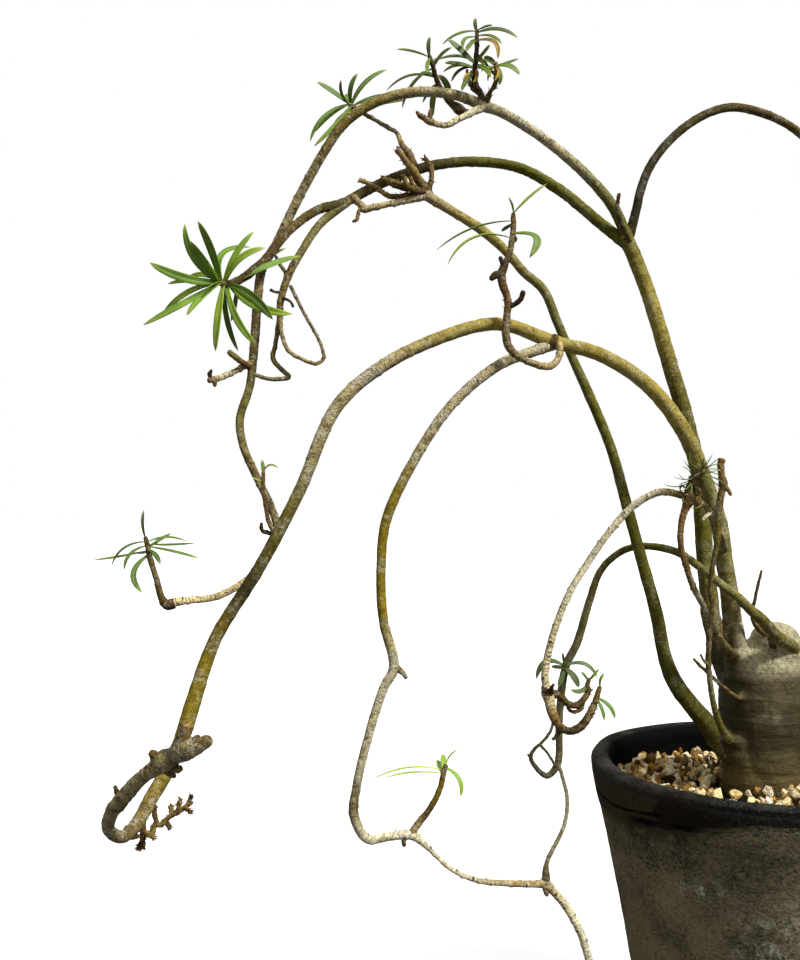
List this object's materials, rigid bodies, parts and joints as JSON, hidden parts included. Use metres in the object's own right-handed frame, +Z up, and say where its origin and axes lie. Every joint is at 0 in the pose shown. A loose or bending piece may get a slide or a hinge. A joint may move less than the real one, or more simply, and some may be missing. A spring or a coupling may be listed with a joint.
{
  "type": "potted balsam spurge",
  "caption": "Caudiciform succulent with a short thick trunk, long bare arching stems and tufts of narrow green leaves, in a dark clay pot topped with pumice grit",
  "frame": {"origin": "middle of the flat foot that the pot stands on", "axes": "+Z up, +X to the right of a viewer who sees the stems arch to the left, +Y away from that viewer"},
  "size_m": [0.3655, 0.2189, 0.467],
  "materials": {
    "pot": "unglazed dark stoneware, matte",
    "net": "moulded net",
    "soil": "gritty potting mix",
    "grit": "loose pumice and lava grains",
    "bark": "smooth olive to grey-brown bark",
    "pale_bark": "pale ringed bark",
    "dry_wood": "scaly brown dry shoots",
    "leaf": "smooth waxy leaf"
  },
  "bodies": {
    "root": {"pot": "pot", "drainage_net": "net", "soil_mix": "soil", "grit_dressing": "grit", "trunk": "bark", "tall_stem": "bark", "left_side_stem": "bark", "looping_stem": "bark", "right_arch_stem": "bark", "front_arch_stem": "bark", "bare_front_shoot": "bark", "middle_arch_stem": "bark", "upper_arch_stem": "bark", "lower_branch_stem": "pale_bark", "pale_shoot": "pale_bark", "wiry_shoot": "pale_bark", "hooked_shoot": "dry_wood", "brown_shoot": "dry_wood", "dead_twig_cluster": "dry_wood", "dry_spray": "dry_wood", "drooping_dry_spray": "dry_wood", "big_rosette": "leaf", "star_shoot": "leaf", "top_shoot": "leaf", "behind_shoot": "leaf", "low_left_shoot": "leaf", "hooked_shoot_leaves": "leaf", "lower_branch_shoot": "leaf", "joint_tuft": "leaf", "pale_shoot_tip_leaves": "leaf", "pale_shoot_inner_leaves": "leaf", "loop_leaves": "leaf", "arch_side_shoot": "leaf", "right_arch_leaves": "leaf", "trailing_tip_leaves": "leaf"}
  },
  "joints": []
}
